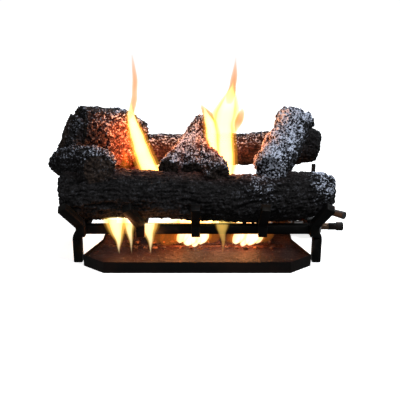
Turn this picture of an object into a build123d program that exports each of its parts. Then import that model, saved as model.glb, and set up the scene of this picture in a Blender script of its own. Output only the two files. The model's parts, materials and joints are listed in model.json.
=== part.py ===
from build123d import *
import os

# A vented gas log fire: charred ceramic logs on a welded bar grate, over a sand pan with an
# H-shaped burner, lit and guarded by a pilot with a thermocouple. Millimetres, +Z up, the front
# faces -Y, and the origin is on the hearth under the middle of the whole set.

# ---------------------------------------------------------------- driving dimensions
# grate: 3/4 inch square bar
BAR = 19.05
RAIL_Z = 75.5            # centre height of both rails and of the runners between them
FRONT_RAIL_Y = -125.0
REAR_RAIL_Y = 112.0
FRONT_LEG_X = 258.0
REAR_LEG_X = 215.0
SHOULDER = 24.0          # bend radius where a leg turns into its rail
RUNNER_X = (-246.0, -120.0, -3.0, 138.0, 248.0)
TINE_LEAN = (-32.0, -25.0, 0.0, 4.0, 27.0)
TINE_KNEE_Z = 92.0
TINE_TOP_Z = 139.0
TINE_FORWARD = 28.0

# stand that holds the rear log up behind the grate: 3/8 inch square bar
STAND_BAR = 9.5
STAND_Y = 148.0
STAND_LEG_X = 292.0
STAND_LEG_TOP = 146.5    # the outer legs stop just short of the log's ends
STRUT_X = 120.0
SADDLE_X = (-190.0, 0.0, 190.0)
POST_TOP = 144.25        # the posts carry a saddle each
STRAP = 3.0

# burner pan and its bed of sand
PAN_WALL = 1.2
PAN_HEIGHT = 25.0
PAN_REAR_Y = 42.0
PAN_SIDE_X = 214.0
PAN_FRONT_Y = -189.0
PAN_HALF = ((PAN_SIDE_X, PAN_REAR_Y), (PAN_SIDE_X, -60.0), (243.0, -150.0), (195.0, PAN_FRONT_Y))
SAND_TOP = 19.0
SAND_GAP = 0.3           # between the sand and the pan wall, and round each buried piece

# burner: 3/8 inch iron pipe
PIPE_R = 8.55
PIPE_BORE_R = 6.25
BURNER_Z = 12.0
FRONT_BURNER_Y = -84.0
REAR_BURNER_Y = 12.0
FRONT_BURNER_HALF = 190.0
REAR_BURNER_HALF = 165.0
CROSSOVER_X = 60.0
PORT_R = 1.3
PORT_PITCH = 20.0
CAP_R = 9.5
CAP_LENGTH = 6.0
CHAIR_X = 120.0          # small chairs hold both burner pipes off the pan floor
CHAIR_SIZE = (12.0, 22.0, 6.0)
MIXER_END_Y = 70.0
WINDOW_Y = 56.0
WINDOW = (10.0, 8.0)     # air window, along the pipe and across it
SHUTTER_CLEARANCE = 0.08
SHUTTER_R = 10.2
SHUTTER_LENGTH = 16.0

# gas valve, outboard of the right-hand runner
PLATE = 2.5
PLATE_X = RUNNER_X[-1] + BAR / 2
VALVE_X = PLATE_X + PLATE
VALVE_SIZE = (32.0, 80.0, 36.0)
VALVE_BOTTOM = 18.0
PIVOT = (279.0, 49.0)
STEM_R = 4.0
STEM_CLEARANCE = 0.06
HUB_R = 13.0
HANDLE_Z = 66.0
HANDLE_DIRECTION = (0.697, -0.717, 0.0)
ROD_END = 84.0
GRIP_START = 27.0
GRIP_END = 88.5
INLET = (20.0, 27.0)     # y, z of the supply line
OUTLET = (66.0, 30.0)    # y, z of the feed to the burner
SUPPLY_END_X = 346.0

# pilot group, on a bracket outside the right-hand pan wall
BRACKET_SHEET = 1.5
PILOT_YZ = (8.0, 42.0)
THERMOCOUPLE_YZ = (-9.0, 42.0)
ELECTRODE_YZ = (24.0, 44.0)
SHIELD_Z = 60.0
PIEZO_YZ = (95.0, 46.0)

# screws, all the same
SCREW_R = 2.0
SCREW_LENGTH = 7.0
SCREW_HEAD_R = 4.2
SCREW_HEAD = 2.4

# logs: stations (x, y, z, radius) along each limb
FRONT_LIMB = (
    (-292, -95, 137, 41), (-268, -95, 139.5, 50), (-240, -95, 141.5, 50.5), (-186, -95, 145, 49),
    (-122, -95, 145.5, 48), (-69, -95, 143, 46.5), (6, -95, 137.5, 47.5), (81, -95, 134.5, 47.5),
    (139, -95, 135, 48), (199, -95, 138, 48), (241, -95, 144, 45), (273, -95, 150, 36),
    (296, -95, 151, 22),
)
REAR_LIMB = (
    (-303, 148, 180, 27), (-286, 148, 183, 34), (-245, 148, 184, 35.5), (-190, 148, 184, 36),
    (-118, 148, 184, 36), (-56, 148, 184, 36), (4, 148, 184, 36), (64, 148, 184, 35.5),
    (118, 148, 185.5, 36.5), (167, 148, 187.5, 39), (216, 148, 190, 41), (262, 148, 193.5, 41.5),
    (288, 148, 194, 39.5), (303, 148, 190, 32),
)
LEFT_STEM = ((-272, 25, 261, 55), (-215, 55, 246, 57), (-167, 81, 238, 47), (-134, 97, 226, 30))
LEFT_FOOT = ((-319, 8, 188, 30), (-262, -50, 198, 37), (-214, -92, 206, 37), (-204, -128, 206, 32))
LEFT_FLANK = ((-312, 2, 184, 25), (-288, 10, 212, 38), (-268, 20, 246, 43), (-253, 28, 273, 42))
LEFT_WEB = ((-228, 30, 214, 46), (-180, 58, 194, 36), (-142, 84, 190, 22))
CENTRE_STEM = ((8, 126, 272, 12), (7, 114, 256, 22), (0, 98, 230, 31), (-4, 70, 215, 33))
CENTRE_LEFT_LEG = ((-6, 84, 217, 28), (-36, 0, 203, 27), (-62, -88, 196, 22))
CENTRE_RIGHT_LEG = ((-2, 84, 217, 28), (20, -5, 203, 28), (46, -112, 188, 22))
CENTRE_WEB = ((-4, 70, 215, 30), (-8, -5, 200, 31), (-9, -68, 181, 28))
RIGHT_BRANCH = (
    (231, 126, 287, 22), (226, 112, 264, 35), (222, 90, 244, 38), (205, 45, 226, 38),
    (182, -20, 213, 38), (163, -76, 203, 36), (155, -104, 199, 31),
)
RIGHT_KNOB = ((228, 100, 250, 22), (257, 106, 264, 17), (270, 108, 269, 11))
SEAT_GAP = 0.6           # between a loose log and the seat cast for it

os.makedirs("parts", exist_ok=True)


def keep(piece, name):
    """Label a finished piece and write it to its own file."""
    piece.part.label = name
    export_step(piece.part, f"parts/{name}.step")


def bent_bar(points, bend, width, side, thickness=None):
    """Rectangular bar swept along straight runs joined by bends; side is the profile's x axis."""
    with BuildPart() as bar:
        with BuildLine() as route:
            FilletPolyline(*points, radius=bend)
        with BuildSketch(Plane(origin=route.line @ 0, x_dir=side, z_dir=route.line % 0)):
            Rectangle(width, thickness or width)
        sweep()
    return bar.part


def round_run(points, radius, share=0.45):
    """Round rod or tube along tangent arcs as large as their runs allow; prints the bend radii."""
    corners = [Vector(*point) for point in points]
    runs = [after - before for before, after in zip(corners, corners[1:])]
    bends = []
    for before, after in zip(runs, runs[1:]):
        half_turn = before.get_angle(after) / 2
        bends.append(share * min(before.length, after.length) / tan_degrees(half_turn))
    print("bend radii", [round(bend, 1) for bend in bends])
    with BuildPart() as rod:
        with BuildLine() as route:
            FilletPolyline(*corners, radius=bends)
        with BuildSketch(Plane(origin=route.line @ 0, z_dir=route.line % 0)):
            Circle(radius)
        sweep()
    length = sum(edge.length for edge in route.edges())
    print("volume", round(rod.part.volume), "of", round(3.14159 * radius**2 * length))
    return rod.part


def tan_degrees(angle):
    """Tangent of an angle in degrees, from a unit vector turned by it."""
    turned = Vector(1, 0, 0).rotate(Axis.Z, angle)
    return turned.Y / turned.X


def rod_x(centre_yz, start, end, radius, hole=0.0):
    """Round bar along X between two stations, with an optional bore."""
    with BuildPart() as rod:
        with BuildSketch(Plane.YZ.offset(start)):
            with Locations(centre_yz):
                Circle(radius)
                if hole:
                    Circle(hole, mode=Mode.SUBTRACT)
        extrude(amount=end - start)
    return rod.part


def rod_y(centre_xz, start, end, radius, hole=0.0):
    """Round bar along Y between two stations, with an optional bore."""
    with BuildPart() as rod:
        with BuildSketch(Plane.XZ.offset(-start)):
            with Locations(centre_xz):
                Circle(radius)
                if hole:
                    Circle(hole, mode=Mode.SUBTRACT)
        extrude(amount=start - end)
    return rod.part


def hex_nut_x(centre_yz, start, end, corner_radius, hole):
    """Hexagonal nut along X with chamfered corners."""
    with BuildPart() as nut:
        with BuildSketch(Plane.YZ.offset(start)):
            with Locations(centre_yz):
                RegularPolygon(corner_radius, 6)
                Circle(hole, mode=Mode.SUBTRACT)
        extrude(amount=end - start)
        with BuildSketch(Plane.YZ.offset(start)):
            with Locations(centre_yz):
                Circle(corner_radius * 0.96)
        extrude(amount=end - start, mode=Mode.INTERSECT)
    return nut.part


def limb(stations, grow=0.0):
    """Closed limb through its stations, cut square at both ends."""
    centres = [Vector(x, y, z) for x, y, z, _ in stations]
    with BuildPart() as wood:
        for index, centre in enumerate(centres):
            ahead = centres[min(index + 1, len(centres) - 1)] - centres[max(index - 1, 0)]
            with BuildSketch(Plane(origin=centre, x_dir=Vector(0, 0, 1).cross(ahead), z_dir=ahead)):
                Circle(stations[index][3] + grow)
        loft()
    return wood.part


# ---------------------------------------------------------------- grate
def bar_hoop(leg_x, y, rail_z, bar, bend):
    """Bar bent into a rail with a leg at each end, standing on the hearth."""
    corners = [(-leg_x, y, 0), (-leg_x, y, rail_z), (leg_x, y, rail_z), (leg_x, y, 0)]
    return bent_bar(corners, bend, bar, (1, 0, 0))


with BuildPart() as front_rail:
    add(bar_hoop(FRONT_LEG_X, FRONT_RAIL_Y, RAIL_Z, BAR, SHOULDER))
    chamfer(front_rail.faces().sort_by(Axis.Z)[:2].edges(), 1.5)
keep(front_rail, "front_rail")

with BuildPart() as rear_rail:
    add(bar_hoop(REAR_LEG_X, REAR_RAIL_Y, RAIL_Z, BAR, SHOULDER))
    chamfer(rear_rail.faces().sort_by(Axis.Z)[:2].edges(), 1.5)
keep(rear_rail, "rear_rail")

RUNNER_START = FRONT_RAIL_Y + BAR / 2
RUNNER_LENGTH = REAR_RAIL_Y - FRONT_RAIL_Y - BAR
RUNNER_SCREW_Y = (15.0, 65.0)
for number, x in enumerate(RUNNER_X, start=1):
    # The outer runners run past the narrower rear rail, so they end on a cranked weld tab.
    outboard = abs(x) > REAR_LEG_X + BAR / 2
    with BuildPart() as runner:
        with BuildSketch(Plane.XZ.offset(-RUNNER_START)):
            with Locations((x, RAIL_Z)):
                Rectangle(BAR, BAR)
        extrude(amount=-RUNNER_LENGTH)
        if outboard:
            tab_x = (abs(x) - BAR / 2 + REAR_LEG_X) / 2 * (1 if x > 0 else -1)
            tab_width = abs(x) - BAR / 2 - REAR_LEG_X
            with Locations((tab_x, REAR_RAIL_Y - BAR, RAIL_Z)):
                Box(tab_width, BAR, BAR)
        if number == len(RUNNER_X):
            with BuildSketch(Plane.YZ.offset(PLATE_X)):
                with Locations(*[(y, RAIL_Z) for y in RUNNER_SCREW_Y]):
                    Circle(SCREW_R)
            extrude(amount=-SCREW_LENGTH, mode=Mode.SUBTRACT)
    keep(runner, f"runner_{number}")

TINE_Y = FRONT_RAIL_Y - BAR
for number, (x, lean) in enumerate(zip(RUNNER_X, TINE_LEAN), start=1):
    foot = (x, TINE_Y, RAIL_Z - BAR / 2)
    knee = (x, TINE_Y, TINE_KNEE_Z)
    tip = (x + lean, TINE_Y - TINE_FORWARD, TINE_TOP_Z)
    with BuildPart() as tine:
        add(bent_bar([foot, knee, tip], 16.0, BAR, (1, 0, 0)))
    keep(tine, f"tine_{number}")

# ---------------------------------------------------------------- stand for the rear log
STRUT_Y = (REAR_RAIL_Y + BAR / 2, STAND_Y - STAND_BAR / 2)
with BuildPart() as rear_stand:
    with Locations((0, STAND_Y, RAIL_Z)):
        Box(2 * STAND_LEG_X, STAND_BAR, STAND_BAR)
    with Locations((-STAND_LEG_X, STAND_Y, 0), (STAND_LEG_X, STAND_Y, 0)):
        Box(STAND_BAR, STAND_BAR, STAND_LEG_TOP, align=(Align.CENTER, Align.CENTER, Align.MIN))
    # Three posts stand on the cross bar, and two struts tie it to the grate's rear rail.
    with Locations(*[(x, STAND_Y, RAIL_Z) for x in SADDLE_X]):
        Box(STAND_BAR, STAND_BAR, POST_TOP - RAIL_Z, align=(Align.CENTER, Align.CENTER, Align.MIN))
    with Locations((-STRUT_X, sum(STRUT_Y) / 2, RAIL_Z), (STRUT_X, sum(STRUT_Y) / 2, RAIL_Z)):
        Box(STAND_BAR, STRUT_Y[1] - STRUT_Y[0], STAND_BAR)
    chamfer(rear_stand.faces().sort_by(Axis.Z)[:2].edges(), 0.8)
keep(rear_stand, "rear_stand")

SADDLE_Z = POST_TOP + STRAP / 2
with BuildPart() as log_saddles:
    for x in SADDLE_X:
        points = [(x, STAND_Y - 36, SADDLE_Z + 14), (x, STAND_Y - 13, SADDLE_Z),
                  (x, STAND_Y + 13, SADDLE_Z), (x, STAND_Y + 36, SADDLE_Z + 14)]
        add(bent_bar(points, 6.0, BAR, (1, 0, 0), STRAP))
keep(log_saddles, "log_saddles")

# ---------------------------------------------------------------- burner pan, sand and embers
PAN_POINTS = [*PAN_HALF, *[(-x, y) for x, y in reversed(PAN_HALF)]]
PILOT_SCREW_Y = (-16.0, 32.0)
PILOT_SCREW_Z = 14.0

with BuildPart() as burner_pan:
    with BuildSketch():
        with BuildLine():
            Polyline(*PAN_POINTS, close=True)
        make_face()
    extrude(amount=PAN_HEIGHT)
    offset(amount=-PAN_WALL, openings=burner_pan.faces().sort_by(Axis.Z)[-1])
    with BuildSketch(Plane.XZ.offset(-PAN_REAR_Y)):
        with Locations((CROSSOVER_X, BURNER_Z)):
            Circle(PIPE_R + 0.2)
    extrude(amount=3 * PAN_WALL, mode=Mode.SUBTRACT)
    with BuildSketch(Plane.YZ.offset(PAN_SIDE_X)):
        with Locations(*[(y, PILOT_SCREW_Z) for y in PILOT_SCREW_Y]):
            Circle(SCREW_R)
    extrude(amount=-2 * PAN_WALL, mode=Mode.SUBTRACT)
keep(burner_pan, "burner_pan")

FRONT_YZ = (FRONT_BURNER_Y, BURNER_Z)
REAR_YZ = (REAR_BURNER_Y, BURNER_Z)
CROSS_XZ = (CROSSOVER_X, BURNER_Z)
FRONT_END_X = FRONT_BURNER_HALF + CAP_LENGTH
REAR_END_X = REAR_BURNER_HALF + CAP_LENGTH
front_trench = rod_x(FRONT_YZ, -FRONT_END_X, FRONT_END_X, CAP_R + SAND_GAP)
rear_trench = rod_x(REAR_YZ, -REAR_END_X, REAR_END_X, CAP_R + SAND_GAP)
cross_trench = rod_y(CROSS_XZ, FRONT_BURNER_Y, PAN_REAR_Y, PIPE_R + SAND_GAP)

with BuildPart() as sand_bed:
    with BuildSketch(Plane.XY.offset(PAN_WALL)):
        with BuildLine():
            Polyline(*PAN_POINTS, close=True)
        make_face()
        offset(amount=-PAN_WALL - SAND_GAP, kind=Kind.INTERSECTION)
    extrude(amount=SAND_TOP - PAN_WALL)
    for trench in (front_trench, rear_trench, cross_trench):
        add(trench, mode=Mode.SUBTRACT)
    for y in (FRONT_BURNER_Y, REAR_BURNER_Y):
        for x in (-CHAIR_X, CHAIR_X):
            with Locations((x, y, PAN_WALL + CHAIR_SIZE[2] / 2)):
                Box(CHAIR_SIZE[0] + 1, CHAIR_SIZE[1] + 1, CHAIR_SIZE[2] + 1, mode=Mode.SUBTRACT)
    with BuildSketch(Plane.YZ.offset(PAN_SIDE_X)):
        with Locations(*[(y, PILOT_SCREW_Z) for y in PILOT_SCREW_Y]):
            Circle(SCREW_R + SAND_GAP)
    extrude(amount=-SCREW_LENGTH - 1, mode=Mode.SUBTRACT)
keep(sand_bed, "sand_bed")

EMBER_ROWS = ((FRONT_BURNER_Y - 17.0, -172.0, 0), (FRONT_BURNER_Y + 17.0, -160.0, 1))
with BuildPart() as ember_chips:
    for row_y, row_x, row in EMBER_ROWS:
        for step in range(14):
            x = row_x + 25.0 * step + 4.0 * ((step * 3 + row) % 4)
            beside_crossover = row == 1 and abs(x - CROSSOVER_X) < 20
            if not beside_crossover:
                size = 5.5 + 0.7 * ((step * 5 + row) % 4)
                turn = 40 * step + 25 * row
                with BuildSketch(Plane.XY.offset(SAND_TOP)):
                    with Locations(Location((x, row_y, 0), (0, 0, turn))):
                        RegularPolygon(size, 5)
                extrude(amount=4.5 + 0.6 * (step % 3), taper=18)
keep(ember_chips, "ember_chips")

# ---------------------------------------------------------------- burner
def burner_pipe(centre_yz, half):
    """Burner pipe along X with a row of flame ports on top and an opening to the crossover."""
    with BuildPart() as pipe:
        add(rod_x(centre_yz, -half, half, PIPE_R, PIPE_BORE_R))
        with BuildSketch(Plane.XY.offset(BURNER_Z)):
            with Locations((0, centre_yz[0])):
                with GridLocations(PORT_PITCH, 1, int(2 * half / PORT_PITCH), 1):
                    Circle(PORT_R)
        extrude(amount=PIPE_R + 1, mode=Mode.SUBTRACT)
        add(rod_y(CROSS_XZ, FRONT_BURNER_Y, REAR_BURNER_Y, PIPE_BORE_R - 0.5), mode=Mode.SUBTRACT)
    return pipe.part


with BuildPart() as front_burner_tube:
    add(burner_pipe(FRONT_YZ, FRONT_BURNER_HALF))
keep(front_burner_tube, "front_burner_tube")

with BuildPart() as rear_burner_tube:
    add(burner_pipe(REAR_YZ, REAR_BURNER_HALF))
    add(rod_y(CROSS_XZ, REAR_BURNER_Y, PAN_REAR_Y, PIPE_BORE_R - 0.5), mode=Mode.SUBTRACT)
keep(rear_burner_tube, "rear_burner_tube")

front_pipe_room = rod_x(FRONT_YZ, -FRONT_BURNER_HALF, FRONT_BURNER_HALF, PIPE_R)
rear_pipe_room = rod_x(REAR_YZ, -REAR_BURNER_HALF, REAR_BURNER_HALF, PIPE_R)

with BuildPart() as burner_crossover:
    add(rod_y(CROSS_XZ, FRONT_BURNER_Y, REAR_BURNER_Y, PIPE_R, PIPE_BORE_R))
    add(front_pipe_room, mode=Mode.SUBTRACT)
    add(rear_pipe_room, mode=Mode.SUBTRACT)
keep(burner_crossover, "burner_crossover")

CAPPED_ENDS = ((FRONT_YZ, FRONT_BURNER_HALF), (REAR_YZ, REAR_BURNER_HALF))
with BuildPart() as burner_end_caps:
    for centre_yz, half in CAPPED_ENDS:
        for start in (-half - CAP_LENGTH, half):
            add(rod_x(centre_yz, start, start + CAP_LENGTH, CAP_R))
keep(burner_end_caps, "burner_end_caps")

with BuildPart() as burner_chairs:
    for y in (FRONT_BURNER_Y, REAR_BURNER_Y):
        for x in (-CHAIR_X, CHAIR_X):
            with Locations((x, y, PAN_WALL + CHAIR_SIZE[2] / 2)):
                Box(*CHAIR_SIZE)
    add(front_pipe_room, mode=Mode.SUBTRACT)
    add(rear_pipe_room, mode=Mode.SUBTRACT)
keep(burner_chairs, "burner_chairs")

with BuildPart() as mixer_tube:
    add(rod_y(CROSS_XZ, REAR_BURNER_Y, MIXER_END_Y, PIPE_R, PIPE_BORE_R))
    add(rear_pipe_room, mode=Mode.SUBTRACT)
    with Locations((CROSSOVER_X, WINDOW_Y, BURNER_Z)):
        Box(4 * PIPE_R, WINDOW[0], WINDOW[1], mode=Mode.SUBTRACT)
keep(mixer_tube, "mixer_tube")

with BuildPart() as air_shutter:
    shutter_start = WINDOW_Y - SHUTTER_LENGTH / 2
    shutter_end = shutter_start + SHUTTER_LENGTH
    add(rod_y(CROSS_XZ, shutter_start, shutter_end, SHUTTER_R, PIPE_R + SHUTTER_CLEARANCE))
    with Locations((CROSSOVER_X, WINDOW_Y, BURNER_Z)):
        Box(4 * PIPE_R, WINDOW[0], WINDOW[1], mode=Mode.SUBTRACT)
    with BuildSketch(Plane.XY.offset(BURNER_Z)):
        with Locations((CROSSOVER_X, WINDOW_Y)):
            Circle(1.5)
    extrude(amount=SHUTTER_R + 1, mode=Mode.SUBTRACT)
keep(air_shutter, "air_shutter")

SHUTTER_SCREW_BASE = BURNER_Z + PIPE_R + SHUTTER_CLEARANCE
with BuildPart() as shutter_screw:
    with BuildSketch(Plane.XY.offset(SHUTTER_SCREW_BASE)):
        with Locations((CROSSOVER_X, WINDOW_Y)):
            Circle(1.5)
    extrude(amount=6.0)
    with BuildSketch(Plane.XY.offset(SHUTTER_SCREW_BASE + 4.0)):
        with Locations((CROSSOVER_X, WINDOW_Y)):
            Circle(3.4)
    extrude(amount=4.5)
    chamfer(shutter_screw.faces().sort_by(Axis.Z)[-1].edges(), 0.6)
keep(shutter_screw, "shutter_screw")

ELBOW_Y = 88.0
ELBOW_R = 7.0
ELBOW_END_X = CROSSOVER_X + 18.0
with BuildPart() as orifice_fitting:
    with BuildSketch(Plane.XZ.offset(-MIXER_END_Y)):
        with Locations(CROSS_XZ):
            RegularPolygon(8.6, 6)
    extrude(amount=-(ELBOW_Y - ELBOW_R - 1 - MIXER_END_Y))
    add(rod_y(CROSS_XZ, MIXER_END_Y - 6, MIXER_END_Y, PIPE_BORE_R))
    add(rod_y(CROSS_XZ, MIXER_END_Y - 6, ELBOW_Y, 0.9), mode=Mode.SUBTRACT)
keep(orifice_fitting, "orifice_fitting")

with BuildPart() as inlet_elbow:
    add(rod_y(CROSS_XZ, ELBOW_Y - ELBOW_R - 1, ELBOW_Y, ELBOW_R))
    add(rod_x((ELBOW_Y, BURNER_Z), CROSSOVER_X, ELBOW_END_X, ELBOW_R))
    with Locations((CROSSOVER_X, ELBOW_Y, BURNER_Z)):
        Sphere(ELBOW_R)
    add(rod_y(CROSS_XZ, ELBOW_Y - ELBOW_R - 1, ELBOW_Y, 3.0), mode=Mode.SUBTRACT)
    add(rod_x((ELBOW_Y, BURNER_Z), CROSSOVER_X, ELBOW_END_X, 3.0), mode=Mode.SUBTRACT)
keep(inlet_elbow, "inlet_elbow")

FEED_R = 4.76
FEED_NUT_R = 8.5
with BuildPart() as feed_tube:
    add(round_run([(ELBOW_END_X, ELBOW_Y, BURNER_Z), (178, ELBOW_Y, BURNER_Z),
                   (222, OUTLET[0], OUTLET[1]), (VALVE_X, *OUTLET)], FEED_R))
keep(feed_tube, "feed_tube")

with BuildPart() as feed_nuts:
    add(hex_nut_x((ELBOW_Y, BURNER_Z), ELBOW_END_X, ELBOW_END_X + 12, FEED_NUT_R, FEED_R))
    add(hex_nut_x(OUTLET, VALVE_X - 12, VALVE_X, FEED_NUT_R, FEED_R))
keep(feed_nuts, "feed_nuts")

# ---------------------------------------------------------------- valve and its handle
PLATE_Y = (-3.0, 108.0)
PLATE_Z = (14.0, RAIL_Z + BAR / 2)
PIEZO_R = 7.5
PILOT_NUT_R = 7.0
with BuildPart() as valve_bracket:
    with BuildSketch(Plane.YZ.offset(PLATE_X)):
        with Locations(((PLATE_Y[0] + PLATE_Y[1]) / 2, (PLATE_Z[0] + PLATE_Z[1]) / 2)):
            Rectangle(PLATE_Y[1] - PLATE_Y[0], PLATE_Z[1] - PLATE_Z[0])
        with Locations(OUTLET):
            Circle(FEED_NUT_R + 0.5, mode=Mode.SUBTRACT)
        with Locations(PILOT_YZ):
            Circle(PILOT_NUT_R + 0.5, mode=Mode.SUBTRACT)
        with Locations(PIEZO_YZ):
            Circle(PIEZO_R, mode=Mode.SUBTRACT)
        with Locations(*[(y, RAIL_Z) for y in RUNNER_SCREW_Y]):
            Circle(SCREW_R, mode=Mode.SUBTRACT)
    extrude(amount=PLATE)
    fillet(valve_bracket.edges().filter_by(Axis.X).group_by(Axis.Z)[0], 5.0)
keep(valve_bracket, "valve_bracket")

VALVE_TOP = VALVE_BOTTOM + VALVE_SIZE[2]
BOSS_TOP = VALVE_TOP + 2.0
STEM_FOOT = 38.0
with BuildPart() as valve_body:
    with Locations((VALVE_X + VALVE_SIZE[0] / 2, VALVE_SIZE[1] / 2, VALVE_BOTTOM + VALVE_SIZE[2] / 2)):
        Box(*VALVE_SIZE)
    fillet(valve_body.edges().filter_by(Axis.Z), 4.0)
    chamfer(valve_body.faces().sort_by(Axis.Z)[-1].edges(), 1.5)
    with BuildSketch(Plane.XY.offset(VALVE_TOP)):
        with Locations(PIVOT):
            Circle(10.5)
    extrude(amount=BOSS_TOP - VALVE_TOP)
    with BuildSketch(Plane.XY.offset(STEM_FOOT)):
        with Locations(PIVOT):
            Circle(STEM_R + STEM_CLEARANCE)
    extrude(amount=BOSS_TOP - STEM_FOOT, mode=Mode.SUBTRACT)
    add(rod_x(INLET, VALVE_X + VALVE_SIZE[0] - 8, VALVE_X + VALVE_SIZE[0], 7.0), mode=Mode.SUBTRACT)
keep(valve_body, "valve_body")

HUB_BOTTOM = 61.0
HUB_TOP = 72.0
STEM_TOP = 67.5
with BuildPart() as valve_stem:
    with BuildSketch(Plane.XY.offset(STEM_FOOT)):
        with Locations(PIVOT):
            Circle(STEM_R)
    extrude(amount=STEM_TOP - STEM_FOOT)
    chamfer(valve_stem.faces().sort_by(Axis.Z)[-1].edges(), 0.6)
keep(valve_stem, "valve_stem")

handle_plane = Plane(origin=(*PIVOT, HANDLE_Z), z_dir=HANDLE_DIRECTION)
ROD_START = 8.0
with BuildPart() as control_rod:
    with BuildSketch(handle_plane.offset(ROD_START)):
        Circle(3.5)
    extrude(amount=ROD_END - ROD_START)
keep(control_rod, "control_rod")

with BuildPart() as control_hub:
    with BuildSketch(Plane.XY.offset(HUB_BOTTOM)):
        with Locations(PIVOT):
            Circle(HUB_R)
            Circle(STEM_R + STEM_CLEARANCE, mode=Mode.SUBTRACT)
    extrude(amount=HUB_TOP - HUB_BOTTOM)
    top_circles = control_hub.edges().filter_by(GeomType.CIRCLE).group_by(Axis.Z)[-1]
    fillet(top_circles.sort_by(SortBy.RADIUS)[-1], 2.0)
    add(control_rod.part, mode=Mode.SUBTRACT)
keep(control_hub, "control_hub")

GRIP_R = (7.0, 9.2)
with BuildPart() as control_grip:
    with BuildSketch(handle_plane.offset(GRIP_START)):
        Circle(GRIP_R[0])
    with BuildSketch(handle_plane.offset(GRIP_END)):
        Circle(GRIP_R[1])
    loft()
    fillet(control_grip.edges().filter_by(GeomType.CIRCLE), 1.8)
    add(control_rod.part, mode=Mode.SUBTRACT)
keep(control_grip, "control_grip")

# ---------------------------------------------------------------- gas supply
VALVE_RIGHT = VALVE_X + VALVE_SIZE[0]
NIPPLE_END = 311.0
with BuildPart() as inlet_nipple:
    add(rod_x(INLET, VALVE_RIGHT, NIPPLE_END, 8.0, 5.0))
    add(rod_x(INLET, VALVE_RIGHT - 8, VALVE_RIGHT, 7.0, 5.0))
    add(rod_x(INLET, NIPPLE_END, NIPPLE_END + 8, PIPE_BORE_R, 5.0))
keep(inlet_nipple, "inlet_nipple")

PIPE_END = 336.0
with BuildPart() as supply_pipe:
    add(rod_x(INLET, NIPPLE_END, PIPE_END, PIPE_R, PIPE_BORE_R))
keep(supply_pipe, "supply_pipe")

COUPLING_START = 330.0
COUPLING_R = 10.4
THREAD_R = 7.3
with BuildPart() as supply_coupling:
    add(rod_x(INLET, COUPLING_START, SUPPLY_END_X, COUPLING_R, THREAD_R))
    chamfer(supply_coupling.edges().filter_by(GeomType.CIRCLE).group_by(SortBy.RADIUS)[-1], 1.2)
    add(rod_x(INLET, COUPLING_START, PIPE_END, PIPE_R), mode=Mode.SUBTRACT)
keep(supply_coupling, "supply_coupling")

# ---------------------------------------------------------------- pilot group
BRACKET_X = PAN_SIDE_X
BRACKET_OUT = BRACKET_X + BRACKET_SHEET
BRACKET_Y = (-24.0, 40.0)
SHIELD_SCREW_Z = 54.0
THERMOCOUPLE_NECK_R = 3.2
PILOT_NECK_R = 4.5
ELECTRODE_R = 3.4

with BuildPart() as pilot_bracket:
    with BuildSketch(Plane.YZ.offset(BRACKET_X)):
        with Locations(((BRACKET_Y[0] + BRACKET_Y[1]) / 2, (6.0 + SHIELD_Z) / 2)):
            Rectangle(BRACKET_Y[1] - BRACKET_Y[0], SHIELD_Z - 6.0)
        for centre_yz, radius in ((THERMOCOUPLE_YZ, THERMOCOUPLE_NECK_R), (PILOT_YZ, PILOT_NECK_R),
                                  (ELECTRODE_YZ, ELECTRODE_R)):
            with Locations(centre_yz):
                Circle(radius, mode=Mode.SUBTRACT)
        with Locations(*[(y, z) for y in PILOT_SCREW_Y for z in (PILOT_SCREW_Z, SHIELD_SCREW_Z)]):
            Circle(SCREW_R, mode=Mode.SUBTRACT)
    extrude(amount=BRACKET_SHEET)
keep(pilot_bracket, "pilot_bracket")

SHIELD_X = (166.0, 236.0)
SHIELD_FLANGE = 10.0
BRACKET_MID_Y = (BRACKET_Y[0] + BRACKET_Y[1]) / 2
BRACKET_WIDTH = BRACKET_Y[1] - BRACKET_Y[0]
with BuildPart() as pilot_shield:
    with Locations(((SHIELD_X[0] + SHIELD_X[1]) / 2, BRACKET_MID_Y, SHIELD_Z + PAN_WALL / 2)):
        Box(SHIELD_X[1] - SHIELD_X[0], BRACKET_WIDTH, PAN_WALL)
    with Locations((BRACKET_OUT + PAN_WALL / 2, BRACKET_MID_Y, SHIELD_Z - SHIELD_FLANGE / 2)):
        Box(PAN_WALL, BRACKET_WIDTH, SHIELD_FLANGE)
    with BuildSketch(Plane.YZ.offset(BRACKET_OUT)):
        with Locations(*[(y, SHIELD_SCREW_Z) for y in PILOT_SCREW_Y]):
            Circle(SCREW_R)
    extrude(amount=PAN_WALL, mode=Mode.SUBTRACT)
keep(pilot_shield, "pilot_shield")

# The thermocouple: a hot tip in the pilot flame, its sleeve, its nut and its lead to the valve.
TIP_X = 170.0
TIP_R = 2.4
SLEEVE_X = 192.0
with BuildPart() as thermocouple_tip:
    add(rod_x(THERMOCOUPLE_YZ, TIP_X, SLEEVE_X, TIP_R))
    fillet(thermocouple_tip.faces().sort_by(Axis.X)[0].edges(), 2.0)
keep(thermocouple_tip, "thermocouple_tip")

NECK_END = BRACKET_OUT + 6.0
with BuildPart() as thermocouple_sleeve:
    add(rod_x(THERMOCOUPLE_YZ, SLEEVE_X, BRACKET_X, 4.6))
    add(rod_x(THERMOCOUPLE_YZ, BRACKET_X, NECK_END, THERMOCOUPLE_NECK_R))
    chamfer(thermocouple_sleeve.faces().sort_by(Axis.X)[0].edges(), 0.8)
keep(thermocouple_sleeve, "thermocouple_sleeve")

with BuildPart() as thermocouple_nut:
    add(hex_nut_x(THERMOCOUPLE_YZ, BRACKET_OUT, NECK_END - 0.5, 6.3, THERMOCOUPLE_NECK_R))
keep(thermocouple_nut, "thermocouple_nut")

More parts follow.
